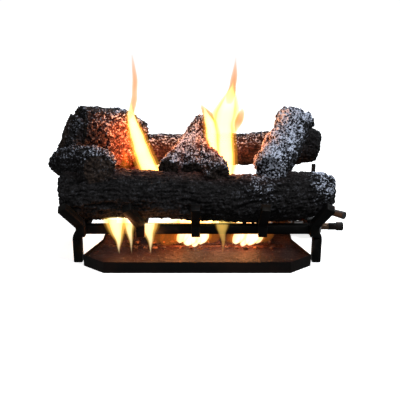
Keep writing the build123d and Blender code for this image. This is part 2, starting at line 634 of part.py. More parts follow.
LEAD_R = 1.4
LEAD_PORT = (274.0, THERMOCOUPLE_YZ[1])
LEAD_NUT_Y = -12.0
with BuildPart() as thermocouple_lead:
    add(round_run([(NECK_END, *THERMOCOUPLE_YZ), (238, -9, 42), (247, -42, 40), (LEAD_PORT[0], -42, 42),
                   (LEAD_PORT[0], LEAD_NUT_Y, 42)], LEAD_R))
keep(thermocouple_lead, "thermocouple_lead")

with BuildPart() as thermocouple_end_nut:
    with BuildSketch(Plane.XZ.offset(-LEAD_NUT_Y)):
        with Locations(LEAD_PORT):
            RegularPolygon(5.6, 6)
    extrude(amount=LEAD_NUT_Y)
    chamfer(thermocouple_end_nut.faces().sort_by(Axis.Y)[0].edges(), 0.6)
keep(thermocouple_end_nut, "thermocouple_end_nut")

# The pilot burner: a hooded head that throws its flame at the tip and at the burner pipes.
PILOT_HEAD_X = 186.0
with BuildPart() as pilot_burner:
    add(rod_x(PILOT_YZ, PILOT_HEAD_X, BRACKET_X, 5.6))
    add(rod_x(PILOT_YZ, BRACKET_X, NECK_END, PILOT_NECK_R))
    add(rod_x(PILOT_YZ, PILOT_HEAD_X - 10, PILOT_HEAD_X + 3, 7.0, 5.0))
    with Locations((PILOT_HEAD_X - 6, PILOT_YZ[0], PILOT_YZ[1] - 5)):
        Box(8.0, 20.0, 7.0, mode=Mode.SUBTRACT)
    add(rod_x(PILOT_YZ, PILOT_HEAD_X - 1, NECK_END, 1.0), mode=Mode.SUBTRACT)
keep(pilot_burner, "pilot_burner")

PILOT_TUBE_R = 3.175
with BuildPart() as pilot_tube:
    add(rod_x(PILOT_YZ, NECK_END, VALVE_X, PILOT_TUBE_R, 2.2))
keep(pilot_tube, "pilot_tube")

with BuildPart() as pilot_nuts:
    add(hex_nut_x(PILOT_YZ, BRACKET_OUT, NECK_END, PILOT_NUT_R, PILOT_NECK_R))
    add(hex_nut_x(PILOT_YZ, NECK_END, NECK_END + 6, PILOT_NUT_R, PILOT_TUBE_R))
    add(hex_nut_x(PILOT_YZ, VALVE_X - 11, VALVE_X, PILOT_NUT_R, PILOT_TUBE_R))
keep(pilot_nuts, "pilot_nuts")

ELECTRODE_END = 226.0
with BuildPart() as electrode_insulator:
    add(rod_x(ELECTRODE_YZ, 186.0, ELECTRODE_END, ELECTRODE_R))
    fillet(electrode_insulator.faces().sort_by(Axis.X)[0].edges(), 1.0)
keep(electrode_insulator, "electrode_insulator")

with BuildPart() as electrode_rod:
    add(round_run([(186, *ELECTRODE_YZ), (177, *ELECTRODE_YZ), (171, 17, 44)], 0.9))
keep(electrode_rod, "electrode_rod")

WIRE_R = 1.5
PIEZO_TAIL_X = 244.0
with BuildPart() as igniter_wire:
    add(round_run([(ELECTRODE_END, *ELECTRODE_YZ), (240, *ELECTRODE_YZ), (240, 58, 48), (226, 78, 47),
                   (228, 95, 46), (PIEZO_TAIL_X, *PIEZO_YZ)], WIRE_R))
keep(igniter_wire, "igniter_wire")

# ---------------------------------------------------------------- piezo igniter
PIEZO_END = 281.0
BUTTON_R = 5.5
BUTTON_CLEARANCE = 0.08
with BuildPart() as piezo_body:
    add(rod_x(PIEZO_YZ, PIEZO_TAIL_X, PIEZO_END, PIEZO_R))
    add(rod_x(PIEZO_YZ, 264.0, PIEZO_END, BUTTON_R + BUTTON_CLEARANCE), mode=Mode.SUBTRACT)
    chamfer(piezo_body.faces().sort_by(Axis.X)[0].edges(), 1.5)
keep(piezo_body, "piezo_body")

with BuildPart() as piezo_nut:
    add(hex_nut_x(PIEZO_YZ, VALVE_X, VALVE_X + 4, 11.0, PIEZO_R))
keep(piezo_nut, "piezo_nut")

with BuildPart() as piezo_button:
    add(rod_x(PIEZO_YZ, 270.0, PIEZO_END + 6.5, BUTTON_R))
    fillet(piezo_button.faces().sort_by(Axis.X)[-1].edges(), 1.4)
keep(piezo_button, "piezo_button")

# ---------------------------------------------------------------- screws
SCREW_SEATS = (
    *[(BRACKET_OUT, y, PILOT_SCREW_Z) for y in PILOT_SCREW_Y],
    *[(BRACKET_OUT + PAN_WALL, y, SHIELD_SCREW_Z) for y in PILOT_SCREW_Y],
    *[(VALVE_X, y, RAIL_Z) for y in RUNNER_SCREW_Y],
)
with BuildPart() as fixing_screws:
    for seat_x, y, z in SCREW_SEATS:
        add(rod_x((y, z), seat_x - SCREW_LENGTH, seat_x, SCREW_R))
        add(rod_x((y, z), seat_x, seat_x + SCREW_HEAD, SCREW_HEAD_R))
keep(fixing_screws, "fixing_screws")

# ---------------------------------------------------------------- logs
def left_fork_shape(grow=0.0):
    """Stem, foot and flank of the forked log, with the web that fills its crotch."""
    with BuildPart() as fork:
        for stations in (LEFT_STEM, LEFT_FOOT, LEFT_FLANK, LEFT_WEB):
            add(limb(stations, grow))
    return fork.part


def centre_twig_shape(grow=0.0):
    """Stem and two legs of the middle twig, with the web that fills its crotch."""
    with BuildPart() as twig:
        for stations in (CENTRE_STEM, CENTRE_LEFT_LEG, CENTRE_RIGHT_LEG, CENTRE_WEB):
            add(limb(stations, grow))
    return twig.part


def right_branch_shape(grow=0.0):
    """Right branch with the stub of a side shoot."""
    with BuildPart() as branch:
        for stations in (RIGHT_BRANCH, RIGHT_KNOB):
            add(limb(stations, grow))
    return branch.part


with BuildPart() as left_fork_log:
    add(left_fork_shape())
keep(left_fork_log, "left_fork_log")

with BuildPart() as centre_twig_log:
    add(centre_twig_shape())
keep(centre_twig_log, "centre_twig_log")

with BuildPart() as right_branch_log:
    add(right_branch_shape())
keep(right_branch_log, "right_branch_log")

SEATS = [left_fork_shape(SEAT_GAP), centre_twig_shape(SEAT_GAP), right_branch_shape(SEAT_GAP)]

with BuildPart() as front_log:
    add(limb(FRONT_LIMB))
    for seat in SEATS:
        add(seat, mode=Mode.SUBTRACT)
keep(front_log, "front_log")

with BuildPart() as rear_log:
    add(limb(REAR_LIMB))
    for seat in SEATS:
        add(seat, mode=Mode.SUBTRACT)
keep(rear_log, "rear_log")
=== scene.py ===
import json
import math

import bmesh
import bpy
import numpy as np
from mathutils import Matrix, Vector, noise


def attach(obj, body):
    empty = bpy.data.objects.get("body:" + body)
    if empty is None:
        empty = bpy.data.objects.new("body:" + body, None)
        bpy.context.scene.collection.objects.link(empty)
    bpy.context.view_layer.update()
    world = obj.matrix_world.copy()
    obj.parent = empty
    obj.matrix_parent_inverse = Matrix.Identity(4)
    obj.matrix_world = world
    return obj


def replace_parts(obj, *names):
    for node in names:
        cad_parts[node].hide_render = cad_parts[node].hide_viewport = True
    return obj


# A lit gas log fire. Metres, +Z up, the front faces -Y, the origin is on the hearth.
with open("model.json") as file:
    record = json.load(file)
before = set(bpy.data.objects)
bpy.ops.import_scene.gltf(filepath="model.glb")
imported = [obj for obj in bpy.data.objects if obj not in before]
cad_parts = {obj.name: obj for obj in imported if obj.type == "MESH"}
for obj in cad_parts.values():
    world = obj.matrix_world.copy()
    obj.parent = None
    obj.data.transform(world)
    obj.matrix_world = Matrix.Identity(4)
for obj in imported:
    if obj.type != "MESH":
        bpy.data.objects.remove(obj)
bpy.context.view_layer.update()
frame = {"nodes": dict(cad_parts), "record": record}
scene = bpy.context.scene

ROOT = "log_set"           # the body that stands on the hearth
WELD_REACH = 0.000005      # points closer than this are the same point
LOG_VOXEL = 0.0016         # mesh spacing of the carved logs
SAND_VOXEL = 0.0017        # mesh spacing of the sand
EMBER_VOXEL = 0.0011       # mesh spacing of the ember lumps
END_TRIM = 0.010           # how far the outermost log ends are drawn in


# ---------------------------------------------------------------- camera, floor and light
def make_camera():
    """The viewing angle: from in front, a little to the right of the middle, looking down."""
    data = bpy.data.cameras.new("camera")
    data.lens = 57.75
    data.sensor_width = 36.0
    data.clip_end = 60.0
    camera = bpy.data.objects.new("camera", data)
    camera.location = (0.006, -1.4154, 0.5592)
    camera.rotation_euler = (math.radians(72.0), 0.0, 0.0)
    scene.collection.objects.link(camera)
    scene.camera = camera


def make_lamp(name, kind, place, aim, power, colour, size):
    """One lamp. An area lamp is a disc that faces the point it is aimed at."""
    data = bpy.data.lights.new(name, kind)
    data.energy = power
    data.color = colour
    if kind == "AREA":
        data.shape = "DISK"
        data.size = size
    else:
        data.shadow_soft_size = size
    lamp = bpy.data.objects.new(name, data)
    lamp.location = place
    if aim is not None:
        lamp.rotation_euler = (Vector(aim) - Vector(place)).to_track_quat("-Z", "Y").to_euler()
    scene.collection.objects.link(lamp)


def make_studio():
    """Pale round floor that curves up into a wall on every side, with soft lamps inside it."""
    flat_radius, bend, wall_top = 4.5, 1.5, 6.0
    around, bend_steps = 72, 12
    profile = [(0.001, 0.0)]
    for step in range(bend_steps + 1):
        angle = math.radians(90.0 * step / bend_steps)
        profile.append((flat_radius + bend * math.sin(angle), bend * (1 - math.cos(angle))))
    profile.append((flat_radius + bend, wall_top))
    points = []
    for radius, height in profile:
        for step in range(around):
            angle = 2 * math.pi * step / around
            points.append((radius * math.cos(angle), radius * math.sin(angle), height))
    faces = []
    for ring in range(len(profile) - 1):
        inner, outer = ring * around, (ring + 1) * around
        for step in range(around):
            after = (step + 1) % around
            faces.append((inner + step, inner + after, outer + after, outer + step))
    mesh = bpy.data.meshes.new("studio_floor")
    mesh.from_pydata(points, [], faces)
    mesh.shade_smooth()
    floor = bpy.data.objects.new("studio_floor", mesh)
    scene.collection.objects.link(floor)
    floor.visible_shadow = False
    floor.visible_diffuse = False
    floor.visible_glossy = False
    paint = Paint("studio_white", roughness=0.9)
    paint.colour((0.88, 0.88, 0.88))
    paint.put(paint.shader.inputs["Emission Color"], (1.0, 1.0, 1.0))
    paint.shader.inputs["Emission Strength"].default_value = 0.78
    mesh.materials.append(paint.material)

    world = bpy.data.worlds.new("studio_world")
    world.use_nodes = True
    world.node_tree.nodes["Background"].inputs["Color"].default_value = (1.0, 1.0, 1.0, 1.0)
    world.node_tree.nodes["Background"].inputs["Strength"].default_value = 0.22
    scene.world = world
    scene.view_settings.view_transform = "Standard"

    middle = (0.0, 0.0, 0.15)
    make_lamp("key_lamp", "AREA", (1.3, -0.9, 2.0), middle, 46.0, (0.93, 0.96, 1.0), 0.9)
    make_lamp("back_lamp", "AREA", (0.7, 1.7, 1.7), middle, 40.0, (0.9, 0.95, 1.0), 1.0)
    make_lamp("fill_lamp", "AREA", (-1.7, -1.6, 1.1), middle, 9.0, (1.0, 0.98, 0.95), 1.2)


# ---------------------------------------------------------------- materials
class Paint:
    """A procedural material on one Principled shader, built node by node."""

    def __init__(self, name, roughness=0.5, metallic=0.0):
        self.material = bpy.data.materials.new(name)
        self.material.use_nodes = True
        self.tree = self.material.node_tree
        self.shader = self.tree.nodes["Principled BSDF"]
        self.shader.inputs["Roughness"].default_value = roughness
        self.shader.inputs["Metallic"].default_value = metallic
        self.place = self.tree.nodes.new("ShaderNodeTexCoord").outputs["Object"]

    def put(self, socket, value):
        """Link a node's output to an input, or set the input to a plain value."""
        if isinstance(value, bpy.types.NodeSocket):
            self.tree.links.new(value, socket)
        elif isinstance(value, (int, float)):
            socket.default_value = value
        else:
            socket.default_value = (*value, 1.0)[: len(socket.default_value)]

    def node(self, kind, **inputs):
        """A new node with some of its inputs filled, named with _ for spaces."""
        made = self.tree.nodes.new(kind)
        for name, value in inputs.items():
            self.put(made.inputs[name.replace("_", " ")], value)
        return made

    def stretched(self, scale, source):
        """Coordinates multiplied by a scale for each axis."""
        mapping = self.node("ShaderNodeMapping", Vector=source)
        mapping.inputs["Scale"].default_value = scale
        return mapping.outputs["Vector"]

    def attribute(self, name, output="Fac"):
        """A value or a vector that the mesh carries at its vertices."""
        made = self.tree.nodes.new("ShaderNodeAttribute")
        made.attribute_name = name
        return made.outputs[output]

    def noise(self, scale, detail=4.0, roughness=0.55, vector=None):
        """Cloudy noise from 0 to 1."""
        made = self.node("ShaderNodeTexNoise", Vector=vector or self.place, Scale=scale, Detail=detail,
                         Roughness=roughness)
        return made.outputs["Fac"]

    def cells(self, scale):
        """Distance to the nearest of many scattered points."""
        return self.node("ShaderNodeTexVoronoi", Vector=self.place, Scale=scale).outputs["Distance"]

    def fit(self, value, low, high, new_low=0.0, new_high=1.0):
        """Smooth step of a value from one range to another."""
        made = self.tree.nodes.new("ShaderNodeMapRange")
        made.interpolation_type = "SMOOTHSTEP"
        inputs = (value, low, high, new_low, new_high)
        for name, item in zip(("Value", "From Min", "From Max", "To Min", "To Max"), inputs):
            self.put(made.inputs[name], item)
        return made.outputs["Result"]

    def maths(self, operation, first, second):
        """Arithmetic on two values."""
        made = self.tree.nodes.new("ShaderNodeMath")
        made.operation = operation
        self.put(made.inputs[0], first)
        self.put(made.inputs[1], second)
        return made.outputs["Value"]

    def mix(self, amount, first, second):
        """Blend two colours."""
        made = self.tree.nodes.new("ShaderNodeMix")
        made.data_type = "RGBA"
        self.put(made.inputs["Factor"], amount)
        colour_sockets = [socket for socket in made.inputs if socket.type == "RGBA"]
        self.put(colour_sockets[0], first)
        self.put(colour_sockets[1], second)
        return next(socket for socket in made.outputs if socket.type == "RGBA")

    def colour(self, value):
        """The surface's colour."""
        self.put(self.shader.inputs["Base Color"], value)

    def rough(self, value):
        """The surface's roughness."""
        self.put(self.shader.inputs["Roughness"], value)

    def gloss(self, level):
        """How strongly the surface mirrors at a right angle."""
        self.shader.inputs["Specular IOR Level"].default_value = level

    def bump(self, height, strength, distance):
        """Fine relief, added to any that is already there."""
        made = self.node("ShaderNodeBump", Height=height, Strength=strength, Distance=distance)
        normal = self.shader.inputs["Normal"]
        if normal.is_linked:
            self.put(made.inputs["Normal"], normal.links[0].from_socket)
        self.put(normal, made.outputs["Normal"])


def paint_bar_steel(name, tint):
    """Black heat-resistant paint on hot-rolled bar, dusted with ash and browned by heat."""
    paint = Paint(name)
    dust = paint.fit(paint.noise(42.0, 6.0, 0.65), 0.54, 0.76)
    brown = paint.fit(paint.noise(16.0, 5.0, 0.6), 0.5, 0.7)
    red, green, blue = (1.6 * channel for channel in tint)
    black = paint.mix(brown, tint, (red + 0.004, green, blue - 0.004))
    paint.colour(paint.mix(paint.maths("MULTIPLY", dust, 0.14), black, (0.06, 0.055, 0.05)))
    paint.rough(paint.fit(dust, 0.0, 1.0, 0.5, 0.85))
    paint.gloss(0.08)
    paint.bump(paint.noise(420.0, 5.0, 0.6), 0.35, 0.0006)
    paint.bump(paint.noise(60.0, 3.0), 0.3, 0.0012)
    return paint.material


def paint_pan_steel(name):
    """Thin painted sheet, sooty on its front and browned where the sand heats it."""
    paint = Paint(name)
    heat = paint.fit(paint.noise(14.0, 5.0, 0.6), 0.42, 0.7)
    scorch = paint.mix(heat, (0.003, 0.0026, 0.0026), (0.009, 0.0045, 0.0035))
    paint.colour(paint.mix(paint.fit(paint.noise(180.0, 4.0), 0.6, 0.8), scorch, (0.014, 0.011, 0.010)))
    paint.rough(paint.fit(paint.noise(30.0, 4.0), 0.3, 0.7, 0.4, 0.7))
    paint.gloss(0.12)
    paint.bump(paint.noise(90.0, 5.0), 0.3, 0.0008)
    return paint.material


def paint_sand(name):
    """Dark reddish-brown burner sand with a few glassy grains, smoother than the rest and painted pale as
    highlights.
    """
    paint = Paint(name)
    grain = paint.cells(620.0)
    patch = paint.fit(paint.noise(11.0, 5.0, 0.6), 0.35, 0.7)
    base = paint.mix(patch, (0.009, 0.0024, 0.0014), (0.032, 0.0085, 0.0040))
    dark = paint.mix(paint.fit(grain, 0.25, 0.75), base, (0.006, 0.0025, 0.002))
    # Painted highlight: a few glassy grains are made smoother and painted pale, as sparkles of light.
    painted_glint_grain = paint.fit(paint.noise(520.0, 2.0, 0.5), 0.70, 0.75)
    paint.colour(paint.mix(painted_glint_grain, dark, (0.70, 0.52, 0.38)))
    paint.rough(paint.fit(painted_glint_grain, 0.0, 1.0, 0.6, 0.18))
    paint.gloss(0.14)
    paint.bump(grain, 0.7, 0.0012)
    paint.bump(paint.noise(160.0, 4.0), 0.5, 0.0018)
    return paint.material


def paint_log(name):
    """Charred ceramic bark: black pits, grey crust, pale ash grains, and painted firelight, red-brown on the
    bark that faces the tall flames.
    """
    paint = Paint(name)
    crest, ash = paint.attribute("crest"), paint.attribute("ash")
    # heat here is the painted firelight that the mesh carries: how much flame light is painted on the bark.
    heat, cut = paint.attribute("firelight"), paint.attribute("cut")
    along = paint.attribute("grain", "Vector")
    grit = paint.noise(235.0, 4.0, 0.66)
    patch = paint.noise(48.0, 4.0, 0.55)
    streak = paint.noise(1.0, 5.0, 0.6, paint.stretched((60.0, 230.0, 230.0), along))
    relief = paint.maths("MULTIPLY", paint.maths("SUBTRACT", crest, 0.5), 0.34)
    for layer, weight in ((patch, 0.35), (streak, 0.45)):
        swing = paint.maths("SUBTRACT", layer, 0.5)
        relief = paint.maths("ADD", relief, paint.maths("MULTIPLY", swing, weight))
    relief = paint.maths("ADD", relief, grit)
    crust = paint.fit(relief, 0.46, 0.72)
    char = paint.mix(crust, (0.0026, 0.0025, 0.0027), (0.017, 0.016, 0.0165))
    # Painted firelight: a red-brown copy of the char, used where the tall flames light the bark.
    painted_firelit_char = paint.mix(crust, (0.013, 0.0022, 0.0014), (0.085, 0.021, 0.0125))
    char = paint.mix(heat, char, painted_firelit_char)
    # The ash amount holds painted shade too, so the pale grains thin out where the logs are painted dark.
    level = paint.maths("ADD", relief, paint.maths("MULTIPLY", ash, 0.17))
    pale = paint.maths("MULTIPLY", paint.fit(level, 0.72, 0.81), paint.fit(ash, 0.0, 0.60, 0.06, 1.0))
    # Painted firelight also tints the pale grains pinkish where the flames light them.
    grains = paint.mix(heat, (0.49, 0.535, 0.65), (0.44, 0.28, 0.235))
    colour = paint.mix(pale, char, grains)
    ring = paint.mix(paint.fit(streak, 0.38, 0.66), (0.008, 0.006, 0.005), (0.060, 0.040, 0.030))
    paint.colour(paint.mix(paint.maths("MULTIPLY", cut, 0.8), colour, ring))
    paint.rough(0.92)
    paint.gloss(0.12)
    paint.bump(grit, 0.9, 0.0030)
    paint.bump(streak, 0.5, 0.0018)
    return paint.material


def paint_ember(name):
    """Mineral-wool lump: sooty brown on its crests, with a dull glow in its hollows."""
    paint = Paint(name, roughness=0.9)
    hot = paint.fit(paint.noise(110.0, 4.0, 0.6), 0.46, 0.70)
    paint.colour(paint.mix(hot, (0.022, 0.011, 0.008), (0.16, 0.05, 0.02)))
    glow = paint.mix(hot, (0.01, 0.0, 0.0), (1.0, 0.20, 0.02))
    paint.put(paint.shader.inputs["Emission Color"], glow)
    paint.shader.inputs["Emission Strength"].default_value = 0.25
    paint.bump(paint.noise(380.0, 5.0), 0.7, 0.0015)
    return paint.material


def paint_metal(name, bright, dull, roughness):
    """Bare or plated metal with blotches of tarnish and fine scratches."""
    paint = Paint(name, metallic=1.0)
    tarnish = paint.fit(paint.noise(70.0, 5.0, 0.6), 0.4, 0.72)
    scratches = paint.noise(1.0, 4.0, 0.6, paint.stretched((300.0, 300.0, 300.0), paint.place))
    tone = paint.mix(tarnish, bright, dull)
    shadow = paint.mix(0.4, tone, tuple(0.5 * c for c in dull))
    paint.colour(paint.mix(paint.fit(scratches, 0.3, 0.7), shadow, tone))
    paint.rough(paint.fit(tarnish, 0.0, 1.0, roughness, min(1.0, roughness + 0.28)))
    paint.bump(scratches, 0.15, 0.0003)
    return paint.material


def paint_plain(name, dark, light, roughness, scale, relief):
    """Moulded, cast, glazed or rubbery surface with mottled tone and a fine texture."""
    paint = Paint(name)
    mottle = paint.noise(scale, 5.0, 0.6)
    paint.colour(paint.mix(paint.fit(mottle, 0.35, 0.68), dark, light))
    paint.rough(paint.fit(mottle, 0.3, 0.7, roughness, min(1.0, roughness + 0.2)))
    paint.bump(paint.noise(8 * scale, 4.0), relief, 0.0005)
    return paint.material


def make_materials():
    """One material for each of the record's material slots."""
    bars = {
        "bar_steel": (0.0028, 0.0027, 0.0027),
        "stand_steel": (0.0065, 0.006, 0.006),
        "black_iron": (0.014, 0.013, 0.013),
    }
    # The bright tone, the tarnished tone and the roughness of each metal.
    metals = {
        "burner_pipe": ((0.075, 0.050, 0.040), (0.030, 0.017, 0.012), 0.7),
        "sheet_steel": ((0.50, 0.50, 0.51), (0.26, 0.24, 0.22), 0.34),
        "brass_fitting": ((0.19, 0.125, 0.085), (0.075, 0.046, 0.034), 0.45),
        "aluminium_tube": ((0.74, 0.74, 0.75), (0.5, 0.49, 0.48), 0.32),
        "steel_rod": ((0.13, 0.135, 0.15), (0.055, 0.057, 0.065), 0.5),
        "probe_steel": ((0.55, 0.47, 0.38), (0.20, 0.13, 0.11), 0.35),
        "copper_lead": ((0.80, 0.40, 0.22), (0.36, 0.15, 0.08), 0.3),
        "screw_steel": ((0.62, 0.62, 0.63), (0.36, 0.34, 0.32), 0.3),
    }
    # The dark tone, light tone, roughness, mottle scale and relief of each plain surface.
    plains = {
        "valve_casting": ((0.10, 0.10, 0.105), (0.22, 0.22, 0.23), 0.5, 90.0, 0.5),
        "grip_black": ((0.007, 0.007, 0.0075), (0.018, 0.018, 0.018), 0.6, 60.0, 0.4),
        "white_ceramic": ((0.66, 0.62, 0.54), (0.82, 0.80, 0.75), 0.22, 50.0, 0.1),
        "wire_jacket": ((0.20, 0.018, 0.012), (0.38, 0.04, 0.025), 0.5, 80.0, 0.2),
        "igniter_plastic": ((0.02, 0.02, 0.02), (0.04, 0.04, 0.04), 0.25, 60.0, 0.1),
    }
    made = {
        "pan_steel": paint_pan_steel("pan_steel"),
        "charred_ceramic": paint_log("charred_ceramic"),
        "sand": paint_sand("sand"),
        "ember": paint_ember("ember"),
    }
    made.update({name: paint_bar_steel(name, tint) for name, tint in bars.items()})
    made.update({name: paint_metal(name, *look) for name, look in metals.items()})
    made.update({name: paint_plain(name, *look) for name, look in plains.items()})
    return made


# ---------------------------------------------------------------- carried-over CAD nodes
def refine_cad_nodes(materials, rebuilt):
    """Give every CAD node its slot's material, crisp shading and, on bars and plates, worn edges."""
    edge_radius = {"bar_steel": 0.0013, "stand_steel": 0.0007, "valve_casting": 0.0008, "sheet_steel": 0.0003}
    slots = {row["node"]: row["material_slot"] for row in frame["record"]["subparts"]}
    for name, node in frame["nodes"].items():
        if name in rebuilt:
            continue
        slot = slots[name]
        for holder in node.material_slots:
            holder.material = materials[slot]
        node.data.shade_smooth()
        weld = node.modifiers.new("weld", "WELD")
        weld.merge_threshold = WELD_REACH
        if slot in edge_radius:
            bevel = node.modifiers.new("worn_edges", "BEVEL")
            bevel.width = edge_radius[slot]
            bevel.segments = 2
            bevel.limit_method = "ANGLE"
            bevel.angle_limit = math.radians(40.0)
            bevel.harden_normals = True
        else:
            split = node.modifiers.new("crisp_edges", "EDGE_SPLIT")
            split.split_angle = math.radians(35.0)


# ---------------------------------------------------------------- logs
def from_cad(name, voxel):
    """A closed, evenly meshed copy of a CAD node's shape, as a new object."""
    mesh = frame["nodes"][name].data.copy()
    mesh.name = name + "_bark"
    piece = bpy.data.objects.new(name + "_bark", mesh)
    scene.collection.objects.link(piece)
    piece.modifiers.new("weld", "WELD").merge_threshold = WELD_REACH
    remesh = piece.modifiers.new("remesh", "REMESH")
    remesh.mode = "VOXEL"
    remesh.voxel_size = voxel
    smooth = piece.modifiers.new("smooth", "SMOOTH")
    smooth.factor = 0.5
    smooth.iterations = 6
    graph = bpy.context.evaluated_depsgraph_get()
    baked = bpy.data.meshes.new_from_object(piece.evaluated_get(graph), depsgraph=graph)
    baked.materials.clear()
    piece.modifiers.clear()
    piece.data = baked
    return piece


def points_of(mesh):
    """Vertex places as an array."""
    places = np.empty(len(mesh.vertices) * 3)
    mesh.vertices.foreach_get("co", places)
    return places.reshape(-1, 3)


def normals_of(mesh):
    """Vertex normals as an array."""
    normals = np.empty(len(mesh.vertices) * 3)
    mesh.vertex_normals.foreach_get("vector", normals)
    return normals.reshape(-1, 3)


def move_points(mesh, places):
    """Write new vertex places."""
    mesh.vertices.foreach_set("co", places.astype(np.float32).ravel())
    mesh.update()


def carry(mesh, name, values):
    """Store one number or one vector for each vertex, for the material to read."""
    kind = "FLOAT" if values.ndim == 1 else "FLOAT_VECTOR"
    layer = mesh.attributes.new(name, kind, "POINT")
    layer.data.foreach_set("value" if values.ndim == 1 else "vector", values.astype(np.float32).ravel())


def sample(function, places):
    """A noise function's value at each place."""
    return np.array([function(Vector(place)) for place in places.tolist()])


def cell_edge(place):
    """How far a place is from the edge of its cell, among scattered cells."""
    nearest, second = noise.voronoi(place)[0][:2]
    return second - nearest


def smoothstep(values, low, high):
    """Smooth rise from 0 to 1 between two levels."""
    share = np.clip((values - low) / (high - low), 0.0, 1.0)
    return share * share * (3 - 2 * share)


def along_limb(places, axis):
    """Where each point lies beside a limb's axis, how far off, the axis's heading, and how far past its ends.

    The place is three numbers: the distance along the axis, and the offsets sideways and upward.
    """
    axis = np.array(axis)
    starts, runs = axis[:-1], axis[1:] - axis[:-1]
    lengths = np.linalg.norm(runs, axis=1)
    before = np.concatenate([[0.0], np.cumsum(lengths)[:-1]])
    best = np.full(len(places), np.inf)
    found = np.zeros((len(places), 3))
    heading = np.zeros((len(places), 3))
    beyond = np.zeros(len(places))
    for index, (start, run, length) in enumerate(zip(starts, runs, lengths)):
        direction = run / length
        offset = places - start
        reach = offset @ direction
        low = -np.inf if index == 0 else 0.0
        high = np.inf if index == len(starts) - 1 else length
        inside = np.clip(reach, low, high)
        across = offset - inside[:, None] * direction
        distance = np.linalg.norm(across, axis=1)
        side = np.cross(direction, (0.0, 0.0, 1.0))
        side /= np.linalg.norm(side)
        lift = np.cross(side, direction)
        closer = distance < best
        best[closer] = distance[closer]
        found[closer] = np.stack([before[index] + inside, across @ side, across @ lift], axis=1)[closer]
        heading[closer] = direction
        past_start = -reach if index == 0 else np.full(len(places), -1.0)
        past_end = reach - length if index == len(starts) - 1 else np.full(len(places), -1.0)
        beyond[closer] = np.maximum(past_start, past_end)[closer]
    return found, best, heading, beyond


def bark_relief(local, seed, ridge, plate, crust):
    """Bark height in metres: long ridges, broken flakes and a granular crust along a limb."""
    shift = np.array([seed * 3.7, seed * 1.3, seed * 2.1])
    wander = 0.006 * sample(noise.noise, local * 22.0 + shift)
    bent = local + np.stack([0 * wander, wander, -wander], axis=1)
    ridges = 1 - 2 * np.abs(sample(noise.noise, bent * (17.0, 120.0, 120.0) + shift))
    fine_ridges = 1 - 2 * np.abs(sample(noise.noise, bent * (60.0, 210.0, 210.0) + shift))
    flakes = smoothstep(sample(cell_edge, bent * (70.0, 130.0, 130.0) + shift), 0.02, 0.5)
    crumbs = 1 - 2 * np.abs(sample(noise.noise, bent * 230.0 + shift))
    rough = sample(noise.noise, bent * 420.0 + shift)
    height = ridge * (ridges + 0.45 * fine_ridges) + plate * (flakes - 0.5) + crust * (crumbs + 0.6 * rough)
    level = 0.5 + 0.22 * ridges + 0.14 * fine_ridges + 0.2 * (flakes - 0.5) + 0.24 * crumbs
    return height, level


# Middles of the two tall flames, whose light is painted red onto the bark that faces them.
HEARTS = ((-0.125, -0.010, 0.205), (-0.140, -0.005, 0.265), (0.062, -0.010, 0.205), (0.056, -0.005, 0.265))


def painted_firelight_amount(places, normals):
    """How strongly the tall flames' light is painted on each point, from 0 to 1, by its distance and by how
    it faces them.
    """
    reach = 0.125
    heat = np.zeros(len(places))
    for heart in HEARTS:
        toward = np.array(heart) - places
        distance = np.linalg.norm(toward, axis=1)
        facing = np.clip(np.sum(toward * normals, axis=1) / distance + 0.1, 0.0, 1.0)
        heat = np.maximum(heat, 1.5 * facing * np.exp(-(distance / reach) ** 2))
    return np.clip(heat, 0.0, 1.0)


def make_log(name, body, limbs, seed, ridge, plate, crust, ash, lump=(0.0035, 18.0), sawn=1.0):
    """A charred log cast in ceramic, carved on the CAD shape: lumps, bark, crust and cut ends.

    limbs holds each limb's axis and rough radius. ridge, plate and crust are heights of relief.
    lump is the height and the scale of the large lumps, and sawn says how clean the cut ends are.
    """
    piece = from_cad(name, LOG_VOXEL)
    mesh = piece.data
    places = points_of(mesh)
    normals = normals_of(mesh)

    fits = [along_limb(places, axis) for axis, radius in limbs]
    closeness = np.stack([distance / radius for (_, distance, _, _), (_, radius) in zip(fits, limbs)])
    nearest = closeness.argmin(axis=0)
    pick = np.arange(len(places))
    local = np.stack([fit[0] for fit in fits])[nearest, pick]
    heading = np.stack([fit[2] for fit in fits])[nearest, pick]
    beyond = np.stack([fit[3] for fit in fits])[nearest, pick]
    limb_shift = 0.37  # so that the bark isn't the same on two limbs
    local = local + nearest[:, None] * limb_shift

    facing = np.abs(np.sum(normals * heading, axis=1))
    cut = sawn * smoothstep(facing, 0.72, 0.95) * smoothstep(beyond, -0.006, 0.0)
    swell, size = lump
    lumps = sample(noise.noise, places * size + seed) + 0.5 * sample(noise.noise, places * 3 * size + seed)
    crags = 1 - 2 * np.abs(sample(noise.noise, places * 85.0 + seed))
    lumps = lumps + 0.6 * crags - 0.45
    height, level = bark_relief(local, seed, ridge, plate, crust)
    spoke = sample(noise.noise, local * (10.0, 140.0, 140.0) + seed)
    rise = (1 - 0.6 * cut) * height + 0.0016 * cut * spoke + swell * lumps
    carved = places + normals * rise[:, None]
    # The set's outer ends are drawn in, so that their bark doesn't make the logs longer.
    from_middle = np.abs(carved[:, 0])
    carved[:, 0] -= END_TRIM * np.sign(carved[:, 0]) * smoothstep(from_middle, 0.27, 0.335)
    move_points(mesh, carved)

    carry(mesh, "crest", np.clip(level, 0.0, 1.0))
    # The ash amount also holds painted shade: darker undersides, flanks and low parts.
    carry(mesh, "ash", np.clip(ash(places, normals), 0.0, 1.0))
    # Painted firelight: where the tall flames' light is painted onto the bark.
    carry(mesh, "firelight", painted_firelight_amount(places, normals))
    carry(mesh, "cut", cut)
    carry(mesh, "grain", local)
    mesh.shade_smooth()
    mesh.materials.append(materials["charred_ceramic"])
    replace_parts(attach(piece, body), name)


